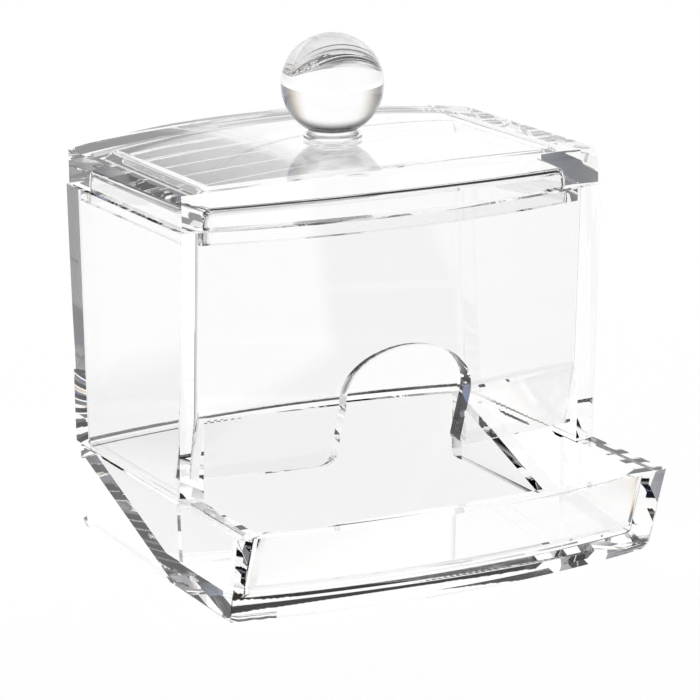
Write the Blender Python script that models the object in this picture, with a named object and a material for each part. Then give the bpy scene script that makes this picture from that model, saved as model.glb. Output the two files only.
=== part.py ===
# Clear moulded dispenser for cotton swabs: a tray base with a ramp, an open tube
# that holds the swabs, and a lift-off lid with a ball knob. Metres, +Z up, front at -Y.

import math

import bmesh
import bpy

# Tube that holds the swabs
box_width = 0.0900
box_depth = 0.0516
box_height = 0.0517
box_flare = 0.0005
box_taper = 0.0027
wall_bulge = 0.0067
front_wall = 0.0040
rear_wall = 0.0031
side_wall = 0.0043
chamber_corner_radius = 0.0008
foot_chamfer_rise = 0.0006

# Leaning lip of the tube's front wall, and the finger arch cut through it
bend_height = 0.0156
lip_clear_height = 0.0034
lip_setback = 0.0042
lip_bulge_loss = 0.0022
arch_width = 0.0270
arch_spring_height = 0.0167
arch_rise = 0.0095
arch_corner_radius = 0.0020

# Base with the tray in front and the ramp below the tube
base_height = 0.0170
base_inset = 0.0005
base_rear_inset = 0.0008
base_side_draft = 0.0006
base_front_flare = 0.0008
base_rear_flare = 0.0010
tray_reach = 0.0256
tray_lean = 0.0049
tray_bulge = 0.0056
floor_thickness = 0.0045
ramp_foot = 0.0130
ramp_thickness = 0.0040
rear_land_clear = 0.0006
tray_front_wall = 0.0030
tray_side_wall = 0.0048
base_side_wall = 0.0048
relief_start = 0.0195
tray_corner_radius = 0.0020
bond_land_play = 0.0002
foot_chamfer_height = 0.0016
foot_chamfer = 0.0004
inner_radius = 0.0020

# Lid
lid_inset = 0.0004
lid_side_height = 0.0066
lid_crown = 0.0022
lid_plate = 0.0038
ceiling_crown = 0.0008
ceiling_radius = 0.0018
pocket_corner_radius = 0.0020
pocket_draft = 0.0009
lip_fit = 0.0003
lip_wall = 0.0018
lip_depth = 0.0030

# Knob
ball_radius = 0.0100
ball_height = 0.0102
neck_radius = 0.00475
foot_radius = 0.00575
foot_height = 0.0005
neck_fillet = 0.0004
spigot_radius = 0.0020
spigot_fit = 0.0002
spigot_shortfall = 0.0004

# Fits and allowances shared by all pieces
joint_gap = 0.0003
overrun = 0.0030

# Facet counts
wall_segments = 64
arch_segments = 24
fillet_segments = 8
knob_segments = 56

# Heights and places that follow from the sizes above
box_bottom = base_height + joint_gap
box_top = box_bottom + box_height
bend_z = box_bottom + bend_height
lip_z = box_bottom + lip_clear_height
lid_bottom = box_top + joint_gap
lid_corner_top = lid_bottom + lid_side_height
lid_top = lid_corner_top + lid_crown
half_width_top = box_width / 2
half_chamber = half_width_top - side_wall
half_width_bottom = half_width_top + box_flare
half_depth_top = box_depth / 2
half_depth_bottom = half_depth_top - box_taper
base_half_width = half_width_bottom - base_inset
base_rear = half_depth_bottom - base_rear_inset
tray_front = half_depth_bottom + tray_reach

# The origin is below the middle of the whole box, so the tube and lid stand this far behind it
tube_offset = (tray_front + tray_bulge - half_depth_top - wall_bulge) / 2


def arc_rise(x, half_span, rise):
    """Height of a circular arc over its chord at x, for an arc of this half span and rise."""
    radius = (half_span**2 + rise**2) / (2 * rise)
    return math.sqrt(max(radius**2 - x**2, 0)) - (radius - rise)


def blend(low, high, share):
    return low + (high - low) * share


def even_stations(half_width):
    """Places across the width from side to side."""
    return [half_width * (2 * i / wall_segments - 1) for i in range(wall_segments + 1)]


def rounded_stations(half_width, radius):
    """Places across the width, closer together near the sides, where the shape is rounded."""
    steps = range(1, fillet_segments + 1)
    side = [half_width - radius * (1 - math.sin(math.pi * i / (2 * fillet_segments))) for i in steps]
    return [-x for x in reversed(side)] + even_stations(half_width - radius) + side


def rounding(x, half_width, radius):
    """How far a rounded side has come in at x: nothing in the middle, the whole radius at the very end."""
    into = max(abs(x) - (half_width - radius), 0)
    return radius - math.sqrt(max(radius**2 - into**2, 0))


def new_object(name, shape):
    bmesh.ops.recalc_face_normals(shape, faces=shape.faces)
    mesh = bpy.data.meshes.new(name)
    shape.to_mesh(mesh)
    shape.free()
    obj = bpy.data.objects.new(name, mesh)
    obj.location.y = tube_offset
    bpy.context.scene.collection.objects.link(obj)
    return obj


def loft_across(name, stations, section):
    """A closed solid through the section loops met from left to right across the width."""
    shape = bmesh.new()
    loops = [[shape.verts.new(point) for point in section(x)] for x in stations]
    count = len(loops[0])
    for left, right in zip(loops, loops[1:]):
        for i in range(count):
            j = (i + 1) % count
            shape.faces.new((left[i], left[j], right[j], right[i]))
    shape.faces.new(loops[0])
    shape.faces.new(loops[-1])
    return new_object(name, shape)


def as_cutter(obj):
    obj.hide_render = True
    obj.display_type = "WIRE"
    return obj


def boolean(target, other, operation):
    as_cutter(other)
    modifier = target.modifiers.new(operation.lower() + "_" + other.name, "BOOLEAN")
    modifier.operation = operation
    modifier.solver = "EXACT"
    modifier.object = other


def turned(name, profile, steps):
    """A solid turned about Z from (radius, height) points that start and end on the axis."""
    shape = bmesh.new()
    verts = [shape.verts.new((radius, 0, height)) for radius, height in profile]
    edges = [shape.edges.new(pair) for pair in zip(verts, verts[1:])]
    bmesh.ops.spin(
        shape,
        geom=verts + edges,
        cent=(0, 0, 0),
        axis=(0, 0, 1),
        angle=2 * math.pi,
        steps=steps,
        use_merge=True,
    )
    bmesh.ops.remove_doubles(shape, verts=shape.verts, dist=overrun / 1000)
    return new_object(name, shape)


def corner_arc(centre_y, centre_z, radius, start, end):
    """Points of a fillet in the Y-Z plane, between two angles in degrees."""
    angles = [math.radians(blend(start, end, i / fillet_segments)) for i in range(fillet_segments + 1)]
    return [(centre_y + radius * math.cos(a), centre_z + radius * math.sin(a)) for a in angles]


def front_of_tube(x, z, inset):
    """Y of the tube's front wall at x and height z, moved in from its outer face."""
    share = (z - box_bottom) / box_height
    corner = blend(half_depth_bottom, half_depth_top, share)
    return -(corner - inset + arc_rise(x, half_width_top, wall_bulge))


def front_of_lip(x, z, inset):
    """Y of the leaning lip, which starts at the bend and is set back at its lower edge."""
    share = (bend_z - z) / (bend_z - lip_z)
    setback = lip_setback - lip_bulge_loss * (1 - arc_rise(x, half_width_top, wall_bulge) / wall_bulge)
    return blend(front_of_tube(x, bend_z, inset), front_of_tube(x, lip_z, inset) + setback, share)


def tube_outer():
    """The tube's outside, which leans out towards the front and rear as it rises. Its foot is
    chamfered down to the base's outline."""

    def section(x):
        share = x / half_width_top
        bulge = arc_rise(x, half_width_top, wall_bulge)
        foot_top = box_bottom + foot_chamfer_rise
        low_front = (share * base_half_width, front_of_tube(x, box_bottom, 0), box_bottom)
        low_rear = (share * base_half_width, base_rear + bulge, box_bottom)
        mid_front = (share * half_width_bottom, front_of_tube(x, foot_top, 0), foot_top)
        mid_rear = (share * half_width_bottom, -front_of_tube(x, foot_top, 0), foot_top)
        top_front = (x, front_of_tube(x, box_top, 0), box_top)
        top_rear = (x, -front_of_tube(x, box_top, 0), box_top)
        return [low_front, low_rear, mid_rear, top_rear, top_front, mid_front]

    return loft_across("upper_box", even_stations(half_width_top), section)


def tube_chamber():
    """The space inside the tube, with rounded corners. Its front follows the leaning lip."""

    def section(x):
        corner = rounding(x, half_chamber, chamber_corner_radius)
        inset = front_wall + corner
        low, high = box_bottom - overrun, box_top + overrun
        front = [(x, front_of_lip(x, low, inset), low), (x, front_of_lip(x, bend_z, inset), bend_z)]
        front.append((x, front_of_tube(x, high, inset), high))
        rear = [(x, -front_of_tube(x, z, rear_wall + corner), z) for z in (high, low)]
        return front + rear

    return loft_across("chamber_cutter", rounded_stations(half_chamber, chamber_corner_radius), section)


def lip_front_cutter():
    """Clears what lies in front of the leaning lip, up to where it meets the wall's outer face."""

    def section(x):
        low, high = box_bottom - overrun, bend_z + overrun
        far = -(half_depth_top + wall_bulge + overrun)
        return [
            (x, far, low),
            (x, front_of_lip(x, low, 0), low),
            (x, front_of_lip(x, high, 0), high),
            (x, far - overrun, high),
        ]

    return loft_across("lip_front_cutter", even_stations(half_chamber), section)


def arc_points(centre_x, centre_z, half_span, rise, start, end, count):
    """Points of an elliptical arc in the X-Z plane, between two angles in degrees."""
    angles = [math.radians(blend(start, end, i / count)) for i in range(count + 1)]
    return [(centre_x + half_span * math.cos(a), centre_z + rise * math.sin(a)) for a in angles]


def opening_cutter():
    """Opens the tube below the lip, and cuts the round-headed finger arch up into the front wall."""
    low = box_bottom - overrun
    radius = arch_corner_radius
    corner_x = arch_width / 2 + radius
    corner_z = lip_z + radius
    outline = [(half_chamber, low), (half_chamber, lip_z)]
    outline += arc_points(corner_x, corner_z, radius, radius, 270, 180, fillet_segments)
    outline += arc_points(0, box_bottom + arch_spring_height, arch_width / 2, arch_rise, 0, 180, arch_segments)
    outline += arc_points(-corner_x, corner_z, radius, radius, 0, -90, fillet_segments)
    outline += [(-half_chamber, lip_z), (-half_chamber, low)]
    shape = bmesh.new()
    far = -(half_depth_top + wall_bulge + overrun)
    rings = [[shape.verts.new((x, y, z)) for x, z in outline] for y in (far, 0)]
    for i in range(len(outline)):
        j = (i + 1) % len(outline)
        shape.faces.new((rings[0][i], rings[0][j], rings[1][j], rings[1][i]))
    shape.faces.new(rings[0])
    shape.faces.new(rings[1])
    return new_object("opening_cutter", shape)


def make_upper_box():
    box = tube_outer()
    boolean(box, tube_chamber(), "DIFFERENCE")
    boolean(box, lip_front_cutter(), "DIFFERENCE")
    boolean(box, opening_cutter(), "DIFFERENCE")
    return box


def front_of_tray(x, z, inset):
    """Y of the tray's front wall at x and height z, leaning out towards its rim."""
    corner = tray_front - tray_lean * (1 - z / base_height)
    return -(corner - inset + arc_rise(x, base_half_width, tray_bulge))


def base_half_width_at(y, z):
    """Half the base's width at y and height z: it flares towards the front, and drafts in to its foot."""
    forward = (base_rear - y) / (base_rear + tray_front)
    return base_half_width - base_side_draft * (1 - z / base_height) + base_front_flare * forward


def base_outer():
    """The base's outside: a bowed front that leans out, flat sides and a bowed rear."""

    def section(x):
        share = x / half_width_top
        rings = ((0, foot_chamfer), (foot_chamfer_height, 0), (box_bottom, 0))
        front, rear = [], []
        for z, chamfer in rings:
            flare = base_rear_flare * (1 - z / base_height) - chamfer
            corner = front_of_tray(base_half_width, z, chamfer)
            front_x = share * (base_half_width_at(corner, z) - chamfer)
            rear_x = share * (base_half_width_at(base_rear + flare, z) - chamfer)
            front.append((front_x, front_of_tray(share * base_half_width, z, chamfer), z))
            rear.append((rear_x, base_rear + flare + arc_rise(x, half_width_top, wall_bulge), z))
        return front[::-1] + rear

    return loft_across("base_tray", even_stations(half_width_top), section)


def bond_land_cutter():
    """Lowers the rim where the tube is bonded on, so that the tube's foot and the tray's rim are flush."""

    def section(x):
        front = -(half_depth_bottom + arc_rise(x, half_width_top, wall_bulge) + bond_land_play)
        far = half_depth_top + wall_bulge + overrun
        high = box_bottom + overrun
        return [(x, front, base_height), (x, far, base_height), (x, far, high), (x, front, high)]

    return loft_across("bond_land_cutter", even_stations(half_width_top + overrun), section)


def tray_cutter():
    """The open tray in front: a flat floor, rounded corners and a front wall that leans outwards."""
    half_width = base_half_width + base_front_flare - tray_side_wall

    def section(x):
        corner = rounding(x, half_width, tray_corner_radius)
        low = front_of_tray(x, floor_thickness, tray_front_wall) + corner
        lean = math.degrees(math.atan2(tray_lean, base_height))
        centre = low + inner_radius * math.tan(math.radians(45 + lean / 2))
        fillet = corner_arc(centre, floor_thickness + inner_radius, inner_radius, 270, 180 - lean)
        high = box_bottom + overrun
        points = [(-relief_start, floor_thickness)] + fillet
        points += [(front_of_tray(x, high, tray_front_wall) + corner, high), (-relief_start, high)]
        return [(x, y, z) for y, z in points]

    return loft_across("tray_cutter", rounded_stations(half_width, tray_corner_radius), section)


def rear_of_chamber(x):
    """Y of the tube's rear wall on its inner face, where it stands on the base."""
    return half_depth_bottom - rear_wall - rear_land_clear + arc_rise(x, half_width_top, wall_bulge)


def ramp_cutter():
    """The space over the ramp, which rises from the tray's floor to the rear wall."""

    def section(x):
        high = box_bottom + overrun
        start = -(relief_start + overrun)
        points = [(start, floor_thickness), (-ramp_foot, floor_thickness)]
        points += [(rear_of_chamber(x), base_height), (rear_of_chamber(x), high), (start, high)]
        return [(x, y, z) for y, z in points]

    return loft_across("ramp_cutter", even_stations(base_half_width - base_side_wall), section)


def hollow_cutter():
    """The space under the ramp, open below and at the rear."""

    def section(x):
        rise = base_height - floor_thickness
        run = rear_of_chamber(x) + ramp_foot
        slope = rise / run
        drop = ramp_thickness * math.sqrt(1 + slope**2)
        far = base_rear + wall_bulge + base_rear_flare + overrun
        low = -overrun
        start = -ramp_foot + (low - floor_thickness + drop) / slope
        top = floor_thickness + slope * (far + ramp_foot) - drop
        return [(x, start, low), (x, far, low), (x, far, top)]

    return loft_across("hollow_cutter", even_stations(base_half_width - base_side_wall), section)


def make_base_tray():
    base = base_outer()
    boolean(base, bond_land_cutter(), "DIFFERENCE")
    boolean(base, tray_cutter(), "DIFFERENCE")
    boolean(base, ramp_cutter(), "DIFFERENCE")
    boolean(base, hollow_cutter(), "DIFFERENCE")
    return base


def lid_block():
    """The lid's outside, crowned across its width and bowed like the tube."""

    def section(x):
        side = x * (1 - lid_inset / half_width_top)
        y = -front_of_tube(x, box_top, lid_inset)
        top = lid_corner_top + arc_rise(x, half_width_top, lid_crown)
        return [(side, -y, lid_bottom), (side, y, lid_bottom), (side, y, top), (side, -y, top)]

    return loft_across("lid", even_stations(half_width_top), section)


def lid_locating_lip():
    """The lip below the lid, which drops inside the tube's walls."""
    half_width = half_chamber - lip_fit

    def section(x):
        inset = lip_fit + rounding(x, half_width, chamber_corner_radius)
        front = front_of_tube(x, box_top, front_wall + inset)
        rear = -front_of_tube(x, box_top, rear_wall + inset)
        low, high = lid_bottom - joint_gap - lip_depth, lid_bottom + lid_plate / 2
        return [(x, front, low), (x, rear, low), (x, rear, high), (x, front, high)]

    return loft_across("locating_lip", rounded_stations(half_width, chamber_corner_radius), section)


def lid_pocket():
    """The hollow inside the lid: drafted, with rounded corners and a rounded edge to its crowned ceiling."""
    half_width = half_chamber - lip_fit - lip_wall
    low = lid_bottom - joint_gap - lip_depth - overrun

    def section(x):
        ceiling = lid_corner_top - lid_plate + arc_rise(x, half_width_top, ceiling_crown)
        ceiling -= rounding(x, half_width, ceiling_radius)
        inset = lip_fit + lip_wall + rounding(x, half_width, pocket_corner_radius)
        front = front_of_tube(x, box_top, front_wall + inset)
        rear = -front_of_tube(x, box_top, rear_wall + inset)
        radius = ceiling_radius
        points = [(rear, low), (front, low)]
        points += corner_arc(front + pocket_draft + radius, ceiling - radius, radius, 180, 90)
        points += corner_arc(rear - pocket_draft - radius, ceiling - radius, radius, 90, 0)
        narrowing = pocket_draft / half_width / (ceiling - low)
        return [(x * (1 - narrowing * (z - low)), y, z) for y, z in points]

    return loft_across("pocket_cutter", rounded_stations(half_width, pocket_corner_radius), section)


def spigot_bore():
    radius = spigot_radius + spigot_fit
    profile = [(0, lid_bottom), (radius, lid_bottom), (radius, lid_top + overrun), (0, lid_top + overrun)]
    return turned("bore_cutter", profile, knob_segments)


def make_lid():
    lid = lid_block()
    boolean(lid, lid_locating_lip(), "UNION")
    boolean(lid, lid_pocket(), "DIFFERENCE")
    boolean(lid, spigot_bore(), "DIFFERENCE")
    return lid


def make_knob():
    seat = lid_top + joint_gap
    centre = seat + ball_height
    foot_top = seat + foot_height
    tip = lid_top - lid_plate + spigot_shortfall
    meet = math.asin(neck_radius / ball_radius)
    ball = []
    steps = knob_segments // 2
    for i in range(steps + 1):
        angle = blend(math.pi - meet, 0, i / steps)
        ball.append((ball_radius * math.sin(angle), centre + ball_radius * math.cos(angle)))
    ball[-1] = (0, centre + ball_radius)
    profile = [(0, tip), (spigot_radius, tip), (spigot_radius, seat), (foot_radius, seat), (foot_radius, foot_top)]
    profile += [(neck_radius + neck_fillet, foot_top), (neck_radius, foot_top + neck_fillet)]
    return turned("knob", profile + ball, knob_segments)


def clear_acrylic(name, roughness):
    material = bpy.data.materials.new(name)
    material.use_nodes = True
    shader = material.node_tree.nodes["Principled BSDF"]
    shader.inputs["Base Color"].default_value = (0.96, 0.97, 0.97, 1)
    shader.inputs["Roughness"].default_value = roughness
    shader.inputs["Metallic"].default_value = 0
    shader.inputs["IOR"].default_value = 1.49
    shader.inputs["Transmission Weight"].default_value = 1
    return material


def finish(obj, material):
    obj.data.materials.append(material)
    obj.data.shade_smooth()
    obj.data.set_sharp_from_angle(angle=math.radians(30))


for old in list(bpy.data.objects):
    bpy.data.objects.remove(old)

finish(make_base_tray(), clear_acrylic("base_acrylic", 0.03))
finish(make_upper_box(), clear_acrylic("tube_acrylic", 0.02))
finish(make_lid(), clear_acrylic("lid_acrylic", 0.02))
finish(make_knob(), clear_acrylic("knob_acrylic", 0.01))
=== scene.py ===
import bpy
import math
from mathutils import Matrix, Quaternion, Vector

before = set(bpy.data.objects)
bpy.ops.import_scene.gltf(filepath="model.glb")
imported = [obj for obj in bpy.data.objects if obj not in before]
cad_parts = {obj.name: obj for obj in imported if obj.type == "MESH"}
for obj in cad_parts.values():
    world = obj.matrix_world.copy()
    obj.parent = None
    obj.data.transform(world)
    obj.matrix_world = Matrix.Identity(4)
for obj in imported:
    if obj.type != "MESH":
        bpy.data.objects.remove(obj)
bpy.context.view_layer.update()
scene = bpy.context.scene
bpy.ops.object.select_all(action="DESELECT")
print("frame loaded:", ", ".join(sorted(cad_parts)))


def hexToLinear(colour, alpha=1.0):
    # sRGB hex to the linear values that sockets take
    values = [int(colour[i:i + 2], 16) / 255 for i in (1, 3, 5)]
    return tuple(v / 12.92 if v <= 0.04045 else ((v + 0.055) / 1.055) ** 2.4 for v in values) + (alpha,)


def addNode(tree, kind, settings=None, inputs=None, output=0):
    # one node with its settings and its input values or links; gives the output that is used next
    # Mix has its factor at 0, numbers at 2 and 3, vectors at 4 and 5, and colours at 6 and 7,
    # and gives a number at 0, a vector at 1 and a colour at 2
    node = tree.nodes.new(kind)
    for name, value in (settings or {}).items():
        setattr(node, name, value)
    for name, value in (inputs or {}).items():
        if isinstance(value, bpy.types.NodeSocket):
            tree.links.new(value, node.inputs[name])
        else:
            node.inputs[name].default_value = value
    return node if output is None else node.outputs[output]


def setStops(ramp, stops):
    # colours along a ramp, from pairs of place and sRGB hex
    while len(ramp.elements) < len(stops):
        ramp.elements.new(1.0)
    for point, (place, colour) in zip(ramp.elements, stops):
        point.position = place
        point.color = hexToLinear(colour)


# settings that many nodes share
greater = {"operation": "GREATER_THAN"}
less = {"operation": "LESS_THAN"}
times = {"operation": "MULTIPLY"}
over = {"operation": "DIVIDE"}
plus = {"operation": "ADD"}
minus = {"operation": "SUBTRACT"}
absolute = {"operation": "ABSOLUTE"}
maximum = {"operation": "MAXIMUM"}
dotProduct = {"operation": "DOT_PRODUCT"}
mixNumbers = {"data_type": "FLOAT"}
mixVectors = {"data_type": "VECTOR"}
mixColours = {"data_type": "RGBA"}
# 0 at From Min, 1 at From Max and smooth between them, also where From Min is the larger
smoothStep = {"interpolation_type": "SMOOTHSTEP"}


def choose(tree, value, threshold, low, high):
    # one of two numbers, by whether the value is above a threshold
    above = addNode(tree, "ShaderNodeMath", greater, {0: value, 1: threshold})
    return addNode(tree, "ShaderNodeMix", mixNumbers, {0: above, 2: low, 3: high})


def between(tree, value, low, high):
    # 1 where the value lies between low and high, or else 0
    above = addNode(tree, "ShaderNodeMath", greater, {0: value, 1: low})
    below = addNode(tree, "ShaderNodeMath", less, {0: value, 1: high})
    return addNode(tree, "ShaderNodeMath", times, {0: above, 1: below})


def slope(tree, x, radius):
    # steepness of an arc of this radius, x away from its middle
    whole = addNode(tree, "ShaderNodeMath", times, {0: radius, 1: radius})
    part = addNode(tree, "ShaderNodeMath", times, {0: x, 1: x})
    rest = addNode(tree, "ShaderNodeMath", minus, {0: whole, 1: part})
    depth = addNode(tree, "ShaderNodeMath", {"operation": "SQRT"}, {0: rest})
    return addNode(tree, "ShaderNodeMath", over, {0: x, 1: depth})


# camera, at the photograph's angle
cameraSettings = {
    "target": (0.0, 0.0109, 0.045),
    "azimuth": 27.872,
    "elevation": 13.851,
    "distance": 0.6656,
    "roll": -0.448,
    "lens": 174.91,
    "sensor": 36,
    "shift": (0.0228, -0.0662),
    "clip": (0.01, 20),
}


def makeCamera(settings):
    az = math.radians(settings["azimuth"])
    el = math.radians(settings["elevation"])
    back = Vector((-math.sin(az) * math.cos(el), -math.cos(az) * math.cos(el), math.sin(el)))
    data = bpy.data.cameras.new("camera")
    data.sensor_width = settings["sensor"]
    data.lens = settings["lens"]
    data.shift_x, data.shift_y = settings["shift"]
    data.clip_start, data.clip_end = settings["clip"]
    camera = bpy.data.objects.new("camera", data)
    camera.location = Vector(settings["target"]) + back * settings["distance"]
    turn = (-back).to_track_quat("-Z", "Y") @ Quaternion((0, 0, 1), math.radians(settings["roll"]))
    camera.rotation_mode = "QUATERNION"
    camera.rotation_quaternion = turn
    scene.collection.objects.link(camera)
    scene.camera = camera


makeCamera(cameraSettings)
print("camera set")

# the four mouldings, in metres
# rearBow and frontBow are the radii of the walls, and parting is the y that lies between the two walls
# flow is the number of waves to a metre along x, y and z, so that 30 gives waves about 33 mm long
# flowDepth is how deep the waves are
# edge is the width of the soft edges
baseTray = {
    "tint": "#fdfdfd", "roughness": 0.0, "ior": 1.49,
    "rearBow": 0.15447, "frontBow": 0.1836, "parting": -0.008,
    "rampFoot": -0.0021, "rampLength": 0.037, "rampFacing": (0.85, 0.99),
    "flow": (30, 30, 80), "flowDepth": 0.00002, "edge": 0.00022,
    "gate": (-0.0027, 0.0), "gateRings": (0.0039, 0.0046), "gateHeights": (0.0040, 0.0052),
    "gateWidth": 0.00022, "gateDepth": 0.00004,
    "bondHeight": 0.0170, "bondSide": 1,
}
upperBox = {
    "tint": "#fdfdfd", "roughness": 0.0, "ior": 1.49,
    "rearBow": 0.15447, "frontBow": 0.15447, "parting": 0.0109,
    "flow": (25, 25, 90), "flowDepth": 0.000012, "edge": 0.00022,
    "bondHeight": 0.0173, "bondSide": -1,
}
# crown and ceiling are the radii above and below the plate, and split is the z between them
# calm is the half width of the ceiling, and fillets the z where its fillets end
lid = {
    "tint": "#fdfdfd", "roughness": 0.0, "ior": 1.49,
    "rearBow": 0.15447, "frontBow": 0.15447, "parting": 0.0109,
    "crown": 0.4613, "ceiling": 1.266, "split": 0.074, "calm": 0.0355, "fillets": 0.0697,
    "broadFacing": 0.985, "crownFacing": 0.5,
    "flow": (40, 40, 160), "flowDepth": 0.000008, "edge": 0.0002,
    "bondAxis": (0, 0.0109), "bondRadius": 0.0023, "bondTop": 0.0781,
}
knob = {
    "tint": "#fdfdfd", "roughness": 0.05, "ior": 1.49,
    "flow": (120, 120, 120), "flowDepth": 0.000006,
    "bondAxis": (0, 0.0109), "bondRadius": 0.0023, "bondTop": 0.0781,
}
mouldings = {"base_tray": baseTray, "upper_box": upperBox, "lid": lid, "knob": knob}
# glue and solvent bonds: with no step in refraction, the faces in them can't be seen
bond = {"tint": "#ffffff", "roughness": 0.0, "ior": 1.0}
# how squarely a facet faces along an axis, from 0 to 1, to count as part of a wall, side, floor or bond
facing = {"wall": 0.85, "side": 0.97, "floor": 0.9995, "bond": 0.9}
# lengths in metres and angles in degrees
mesh = {"bondReach": 0.00003, "weld": 0.00002, "splitAngle": 20, "edgeAngle": 35, "edgeSegments": 2}


def crownNormal(tree, piece, facet, smooth, place, bow, normal):
    # the lid's plate is an arc across, above and below, also where it curves down to its bowed ends
    steepX = addNode(tree, "ShaderNodeMath", absolute, {0: facet["X"]})
    steepZ = addNode(tree, "ShaderNodeMath", absolute, {0: facet["Z"]})
    away = addNode(tree, "ShaderNodeMath", absolute, {0: place["X"]})
    radius = choose(tree, place["Z"], piece["split"], piece["ceiling"], piece["crown"])
    broad = addNode(tree, "ShaderNodeMath", greater, {0: steepZ, 1: piece["broadFacing"]})
    leaning = addNode(tree, "ShaderNodeMix", mixNumbers, {0: broad, 2: smooth["Y"], 3: facet["Y"]})
    rising = addNode(tree, "ShaderNodeMix", mixNumbers, {0: broad, 2: smooth["Z"], 3: facet["Z"]})
    arc = slope(tree, place["X"], radius)
    crowned = addNode(tree, "ShaderNodeMath", times, {0: arc, 1: rising})
    bowed = addNode(tree, "ShaderNodeMath", times, {0: bow, 1: leaning})
    across = addNode(tree, "ShaderNodeMath", plus, {0: crowned, 1: bowed})
    top = addNode(tree, "ShaderNodeCombineXYZ", {}, {"X": across, "Y": leaning, "Z": rising})
    middle = addNode(tree, "ShaderNodeMath", less, {0: away, 1: piece["calm"]})
    high = addNode(tree, "ShaderNodeMath", greater, {0: place["Z"], 1: piece["fillets"]})
    above = addNode(tree, "ShaderNodeMath", greater, {0: place["Z"], 1: piece["split"]})
    level = addNode(tree, "ShaderNodeMath", less, {0: steepX, 1: piece["crownFacing"]})
    below = addNode(tree, "ShaderNodeMath", times, {0: middle, 1: high})
    either = addNode(tree, "ShaderNodeMath", maximum, {0: below, 1: above})
    chosen = addNode(tree, "ShaderNodeMath", times, {0: either, 1: level})
    return addNode(tree, "ShaderNodeMix", mixVectors, {0: chosen, 4: normal, 5: top}, 1)


def rampNormal(tree, piece, facet, place, bowed, normal):
    # the ramp is flat at its foot and bowed where it meets the rear wall
    steepZ = addNode(tree, "ShaderNodeMath", absolute, {0: facet["Z"]})
    along = addNode(tree, "ShaderNodeMath", minus, {0: place["Y"], 1: piece["rampFoot"]})
    share = addNode(tree, "ShaderNodeMath", over, {0: along, 1: piece["rampLength"]})
    across = addNode(tree, "ShaderNodeMath", times, {0: bowed, 1: share})
    tilted = addNode(tree, "ShaderNodeCombineXYZ", {}, {"X": across, "Y": facet["Y"], "Z": facet["Z"]})
    sloping = between(tree, steepZ, *piece["rampFacing"])
    behind = addNode(tree, "ShaderNodeMath", greater, {0: along, 1: 0.0})
    onRamp = addNode(tree, "ShaderNodeMath", times, {0: sloping, 1: behind})
    return addNode(tree, "ShaderNodeMix", mixVectors, {0: onRamp, 4: normal, 5: tilted}, 1)


def mouldedNormal(tree, piece):
    # the bowed walls, the ramp and the crowned lid shine as true curves, as from a polished mould
    geometry = addNode(tree, "ShaderNodeNewGeometry", output=None).outputs
    facet = addNode(tree, "ShaderNodeSeparateXYZ", {}, {"Vector": geometry["True Normal"]}, None).outputs
    smooth = addNode(tree, "ShaderNodeSeparateXYZ", {}, {"Vector": geometry["Normal"]}, None).outputs
    place = addNode(tree, "ShaderNodeTexCoord", output="Object")
    place = addNode(tree, "ShaderNodeSeparateXYZ", {}, {"Vector": place}, None).outputs
    radius = choose(tree, place["Y"], piece["parting"], piece["frontBow"], piece["rearBow"])
    side = choose(tree, place["Y"], piece["parting"], -1.0, 1.0)
    arc = slope(tree, place["X"], radius)
    bow = addNode(tree, "ShaderNodeMath", times, {0: arc, 1: side})
    bowed = addNode(tree, "ShaderNodeMath", times, {0: bow, 1: facet["Y"]})
    wall = addNode(tree, "ShaderNodeCombineXYZ", {}, {"X": bowed, "Y": facet["Y"], "Z": facet["Z"]})
    steep = {}
    for axis in "XYZ":
        steep[axis] = addNode(tree, "ShaderNodeMath", absolute, {0: facet[axis]})
    # the side walls and the floor are flat up to their edges
    sideways = addNode(tree, "ShaderNodeMath", greater, {0: steep["X"], 1: facing["side"]})
    upright = addNode(tree, "ShaderNodeMath", greater, {0: steep["Z"], 1: facing["floor"]})
    flat = addNode(tree, "ShaderNodeMath", maximum, {0: sideways, 1: upright})
    normals = {0: flat, 4: geometry["Normal"], 5: geometry["True Normal"]}
    normal = addNode(tree, "ShaderNodeMix", mixVectors, normals, 1)
    if "crown" in piece:
        normal = crownNormal(tree, piece, facet, smooth, place, bow, normal)
    if "rampFoot" in piece:
        normal = rampNormal(tree, piece, facet, place, bowed, normal)
    onWall = addNode(tree, "ShaderNodeMath", greater, {0: steep["Y"], 1: facing["wall"]})
    normal = addNode(tree, "ShaderNodeMix", mixVectors, {0: onWall, 4: normal, 5: wall}, 1)
    return addNode(tree, "ShaderNodeVectorMath", {"operation": "NORMALIZE"}, {0: normal}, "Vector")


def gateMark(tree, place, piece):
    # very faint double ring where the moulding was fed, on the tray's floor
    flat = addNode(tree, "ShaderNodeVectorMath", times, {0: place, 1: (1, 1, 0)}, "Vector")
    centre = piece["gate"] + (0,)
    away = addNode(tree, "ShaderNodeVectorMath", {"operation": "DISTANCE"}, {0: flat, 1: centre}, "Value")
    height = 0.0
    for radius in piece["gateRings"]:
        off = addNode(tree, "ShaderNodeMath", minus, {0: away, 1: radius})
        off = addNode(tree, "ShaderNodeMath", absolute, {0: off})
        ring = addNode(tree, "ShaderNodeMapRange", smoothStep, {0: off, 1: piece["gateWidth"], 2: 0.0})
        height = addNode(tree, "ShaderNodeMath", plus, {0: height, 1: ring})
    level = addNode(tree, "ShaderNodeSeparateXYZ", {}, {"Vector": place}, "Z")
    onFloor = between(tree, level, *piece["gateHeights"])
    height = addNode(tree, "ShaderNodeMath", times, {0: height, 1: onFloor})
    return addNode(tree, "ShaderNodeMath", times, {0: height, 1: piece["gateDepth"]})


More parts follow.
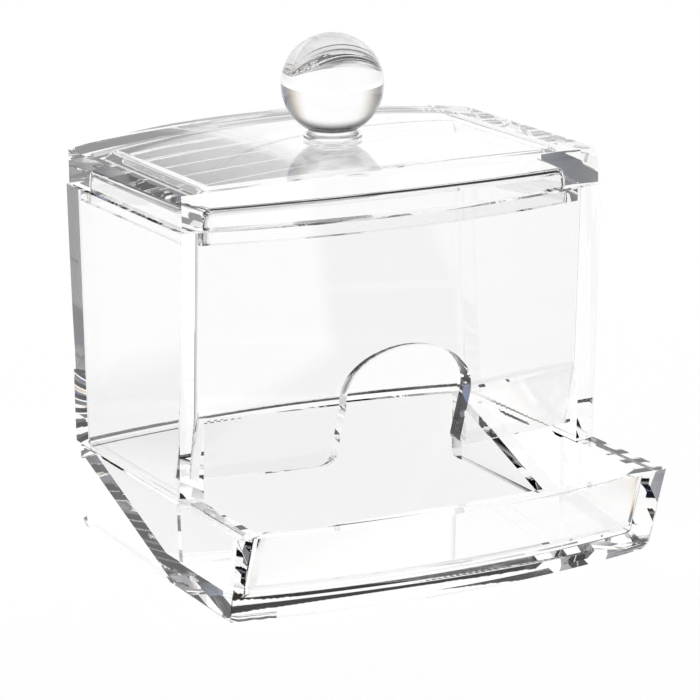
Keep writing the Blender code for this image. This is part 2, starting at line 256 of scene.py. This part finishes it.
def clearAcrylic(name, piece):
    # injection-moulded acrylic: water-clear and glossy, with the faint waves of its flow in the mould
    material = bpy.data.materials.new(name)
    material.use_nodes = True
    tree = material.node_tree
    shader = tree.nodes["Principled BSDF"]
    if "flow" in piece:
        place = addNode(tree, "ShaderNodeTexCoord", output="Object")
        stretch = {0: place, 1: piece["flow"]}
        stretched = addNode(tree, "ShaderNodeVectorMath", times, stretch, "Vector")
        noise = {"Vector": stretched, "Scale": 1.0, "Detail": 0.0}
        waves = addNode(tree, "ShaderNodeTexNoise", {}, noise, "Fac")
        height = addNode(tree, "ShaderNodeMath", times, {0: waves, 1: piece["flowDepth"]})
        if "gate" in piece:
            mark = gateMark(tree, place, piece)
            height = addNode(tree, "ShaderNodeMath", plus, {0: height, 1: mark})
        relief = {"Height": height, "Strength": 1.0, "Distance": 1.0}
        if "rearBow" in piece:
            relief["Normal"] = mouldedNormal(tree, piece)
        tree.links.new(addNode(tree, "ShaderNodeBump", {}, relief, "Normal"), shader.inputs["Normal"])
    shader.inputs["Base Color"].default_value = hexToLinear(piece["tint"])
    shader.inputs["Roughness"].default_value = piece["roughness"]
    shader.inputs["IOR"].default_value = piece["ior"]
    shader.inputs["Transmission Weight"].default_value = 1
    return material


def onBond(polygon, piece):
    # whether a face lies in a bond: at the tube's foot, or round the knob's peg
    if "bondHeight" in piece:
        near = abs(polygon.center.z - piece["bondHeight"]) < mesh["bondReach"]
        return near and polygon.normal.z * piece["bondSide"] > facing["bond"]
    x, y = piece["bondAxis"]
    away = math.hypot(polygon.center.x - x, polygon.center.y - y)
    return away < piece["bondRadius"] and polygon.center.z < piece["bondTop"]


bondMaterial = clearAcrylic("solvent_bond", bond)
for nodeName, piece in mouldings.items():
    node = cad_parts[nodeName]
    node.data.materials.clear()
    node.data.materials.append(clearAcrylic(nodeName + "_clear_acrylic", piece))
    node.data.materials.append(bondMaterial)
    for polygon in node.data.polygons:
        polygon.use_smooth = True
        polygon.material_index = int(onBond(polygon, piece))
    weld = node.modifiers.new("weld", "WELD")
    weld.merge_threshold = mesh["weld"]
    if "edge" in piece:
        # moulded edges are never quite sharp: each catches a fine line of light
        bevel = node.modifiers.new("softEdges", "BEVEL")
        bevel.width = piece["edge"]
        bevel.segments = mesh["edgeSegments"]
        bevel.limit_method = "ANGLE"
        bevel.angle_limit = math.radians(mesh["edgeAngle"])
        bevel.use_clamp_overlap = True
        bevel.harden_normals = True
    else:
        split = node.modifiers.new("split", "EDGE_SPLIT")
        split.split_angle = math.radians(mesh["splitAngle"])
print("acrylic on")

# the studio has two sets of surroundings: the camera sees plain white, and the object sees what follows,
# with shade and the object's own shadow painted on the paper
# ahead is away from the camera and aside is to its right
aheadAngle = math.radians(cameraSettings["azimuth"])
forward = (math.sin(aheadAngle), math.cos(aheadAngle), 0)
right = (math.cos(aheadAngle), -math.sin(aheadAngle), 0)
roomStrength = 1.06

# paper, with painted shade patches (cards) and the object's painted shadow (strip) on it, in metres: each
# pair is where a patch's painted shade starts to show and where it shows in full near and far are
# distances from the middle of the object, for the painted shadow in front those along ahead turned is the
# share of a distance that lies to the right, or below 0 to the left
paper = {
    "size": 3.0,
    "drop": 0.0002,
    "matte": "#a8a8a8",
    "cameraShare": 0.94,
    "lit": "#ffffff",
    "halfLit": "#cacacc",
    "paintedFrontShadow": {"near": (-0.05, -0.068), "far": (-0.115, -0.1), "ends": (0.13, 0.11)},
    "rightPaintedShade": {"near": (0.06, 0.08), "far": (0.6, 0.5), "ahead": (0.04, 0.02),
                  "turned": (0.56, 0.64)},
    "leftPaintedShade": {"near": (0.09, 0.125), "far": (0.6, 0.45), "ahead": (0.09, 0.06),
                 "turned": (-0.62, -0.78)},
    # tones of the painted shade: white, a painted warm fringe, grey, a painted blue fringe, then grey
    "edgeStops": [(0.0, "#ffffff"), (0.25, "#f3e6d6"), (0.45, "#b0998a"), (0.6, "#666064"),
                  (0.76, "#6676a2"), (0.88, "#6a7080"), (1.0, "#6a6a6e")],
}


def paintedShadeBeside(tree, card, ahead, aside):
    # 1 on a patch of painted shade, a card, that starts beside the object and widens away from it
    square = addNode(tree, "ShaderNodeMath", times, {0: aside, 1: aside})
    other = addNode(tree, "ShaderNodeMath", times, {0: ahead, 1: ahead})
    both = addNode(tree, "ShaderNodeMath", plus, {0: square, 1: other})
    out = addNode(tree, "ShaderNodeMath", {"operation": "SQRT"}, {0: both})
    width = addNode(tree, "ShaderNodeMath", over, {0: aside, 1: out})
    start, end = card["turned"]
    shade = addNode(tree, "ShaderNodeMapRange", smoothStep, {0: width, 1: start, 2: end})
    for place, (start, end) in ((out, card["near"]), (out, card["far"]), (ahead, card["ahead"])):
        edge = addNode(tree, "ShaderNodeMapRange", smoothStep, {0: place, 1: start, 2: end})
        shade = addNode(tree, "ShaderNodeMath", times, {0: shade, 1: edge})
    return shade


def paintedShadowBefore(tree, card, ahead, aside):
    # 1 on the object's painted shadow, a strip between the object and the camera
    beside = addNode(tree, "ShaderNodeMath", absolute, {0: aside})
    start, end = card["near"]
    shade = addNode(tree, "ShaderNodeMapRange", smoothStep, {0: ahead, 1: start, 2: end})
    for place, (start, end) in ((ahead, card["far"]), (beside, card["ends"])):
        edge = addNode(tree, "ShaderNodeMapRange", smoothStep, {0: place, 1: start, 2: end})
        shade = addNode(tree, "ShaderNodeMath", times, {0: shade, 1: edge})
    return shade


def paperWithPaintedShade(settings):
    # white paper sweep with painted shade: grey cards of painted shade beside the object and its painted
    # shadow before it draw its clear edges in the light that passes through and off it, and their warm
    # and blue fringes are painted colours that stand for the colours that thick acrylic splits at an edge
    material = bpy.data.materials.new("paper_sweep_with_painted_shade")
    material.use_nodes = True
    tree = material.node_tree
    tree.nodes.clear()
    place = addNode(tree, "ShaderNodeTexCoord", output="Object")
    ahead = addNode(tree, "ShaderNodeVectorMath", dotProduct, {0: place, 1: forward}, "Value")
    aside = addNode(tree, "ShaderNodeVectorMath", dotProduct, {0: place, 1: right}, "Value")
    paintedFrontShadow = paintedShadowBefore(tree, settings["paintedFrontShadow"], ahead, aside)
    rightPaintedShade = paintedShadeBeside(tree, settings["rightPaintedShade"], ahead, aside)
    leftPaintedShade = paintedShadeBeside(tree, settings["leftPaintedShade"], ahead, aside)
    # painted shade: the painted shadow in front and the right patch take the shade tones, the left patch
    # dims the paper to half lit
    dark = addNode(tree, "ShaderNodeMath", maximum, {0: paintedFrontShadow, 1: rightPaintedShade})
    ramp = addNode(tree, "ShaderNodeValToRGB", {}, {"Fac": dark}, None)
    setStops(ramp.color_ramp, settings["edgeStops"])
    tones = {0: leftPaintedShade, 6: hexToLinear(settings["lit"]), 7: hexToLinear(settings["halfLit"])}
    light = addNode(tree, "ShaderNodeMix", mixColours, tones, 2)
    blend = {"data_type": "RGBA", "blend_type": "MULTIPLY"}
    colour = addNode(tree, "ShaderNodeMix", blend, {0: 1.0, 6: ramp.outputs["Color"], 7: light}, 2)
    # for every ray but the camera's, the paper glows with its painted shade and painted shadow
    glowWithPaintedShade = addNode(tree, "ShaderNodeEmission", {}, {"Color": colour, "Strength": roomStrength})
    seen = addNode(tree, "ShaderNodeEmission", {}, {"Strength": settings["cameraShare"]})
    matte = addNode(tree, "ShaderNodeBsdfDiffuse", {}, {"Color": hexToLinear(settings["matte"])})
    shown = addNode(tree, "ShaderNodeAddShader", {}, {0: seen, 1: matte})
    cameraRay = addNode(tree, "ShaderNodeLightPath", output="Is Camera Ray")
    mixed = addNode(tree, "ShaderNodeMixShader", {}, {0: cameraRay, 1: glowWithPaintedShade, 2: shown})
    addNode(tree, "ShaderNodeOutputMaterial", {}, {"Surface": mixed}, None)
    return material


bpy.ops.mesh.primitive_plane_add(size=paper["size"], location=(0, 0, -paper["drop"]))
floor = bpy.context.object
floor.name = "studio_floor"
floor.data.materials.append(paperWithPaintedShade(paper))
print("paper laid")

# the room that the object sees: stops are its tones by direction, in degrees to the right of ahead
# ceilingSpan is how steeply a ray rises, from 0 to 1, where the dark ceiling starts and where it is full
room = {
    "ceiling": "#1e1e20",
    "ceilingSpan": (0.38, 0.66),
    "stops": [(-180, "#8c8c8c"), (-135, "#cccccc"), (-90, "#dededf"), (-60, "#76787e"), (-44, "#b0aca6"),
              (-30, "#f4f2ee"), (-24, "#ffffff"), (24, "#ffffff"), (30, "#f4f0ea"), (44, "#ada59a"),
              (58, "#70798c"), (75, "#55555a"), (105, "#6c6c70"), (135, "#a8a8a8"), (180, "#8c8c8c")],
}


def makeRoom(settings):
    world = bpy.data.worlds.new("studio")
    scene.world = world
    world.use_nodes = True
    tree = world.node_tree
    tree.nodes.clear()
    ray = addNode(tree, "ShaderNodeTexCoord", output="Generated")
    ahead = addNode(tree, "ShaderNodeVectorMath", dotProduct, {0: ray, 1: forward}, "Value")
    aside = addNode(tree, "ShaderNodeVectorMath", dotProduct, {0: ray, 1: right}, "Value")
    rise = addNode(tree, "ShaderNodeVectorMath", dotProduct, {0: ray, 1: (0, 0, 1)}, "Value")
    # direction as a share of a full turn, where 0.5 is straight ahead
    turn = addNode(tree, "ShaderNodeMath", {"operation": "ARCTAN2"}, {0: aside, 1: ahead})
    turn = addNode(tree, "ShaderNodeMath", over, {0: turn, 1: 2 * math.pi})
    turn = addNode(tree, "ShaderNodeMath", plus, {0: turn, 1: 0.5})
    ramp = addNode(tree, "ShaderNodeValToRGB", {}, {"Fac": turn}, None)
    setStops(ramp.color_ramp, [((angle + 180) / 360, colour) for angle, colour in settings["stops"]])
    start, end = settings["ceilingSpan"]
    overhead = addNode(tree, "ShaderNodeMapRange", smoothStep, {0: rise, 1: start, 2: end})
    tones = {0: overhead, 6: ramp.outputs["Color"], 7: hexToLinear(settings["ceiling"])}
    around = addNode(tree, "ShaderNodeMix", mixColours, tones, 2)
    lit = addNode(tree, "ShaderNodeBackground", {}, {"Color": around, "Strength": roomStrength})
    plain = addNode(tree, "ShaderNodeBackground", {}, {"Color": (1, 1, 1, 1), "Strength": 1.0})
    cameraRay = addNode(tree, "ShaderNodeLightPath", output="Is Camera Ray")
    mixed = addNode(tree, "ShaderNodeMixShader", {}, {0: cameraRay, 1: lit, 2: plain})
    addNode(tree, "ShaderNodeOutputWorld", {}, {"Surface": mixed}, None)


makeRoom(room)

# light passes many clear walls before it leaves the box
bounces = {
    "max_bounces": 24,
    "transmission_bounces": 24,
    "glossy_bounces": 12,
    "transparent_max_bounces": 16,
}
for name, count in bounces.items():
    setattr(scene.cycles, name, count)
scene.view_settings.view_transform = "Standard"
print("studio ready")
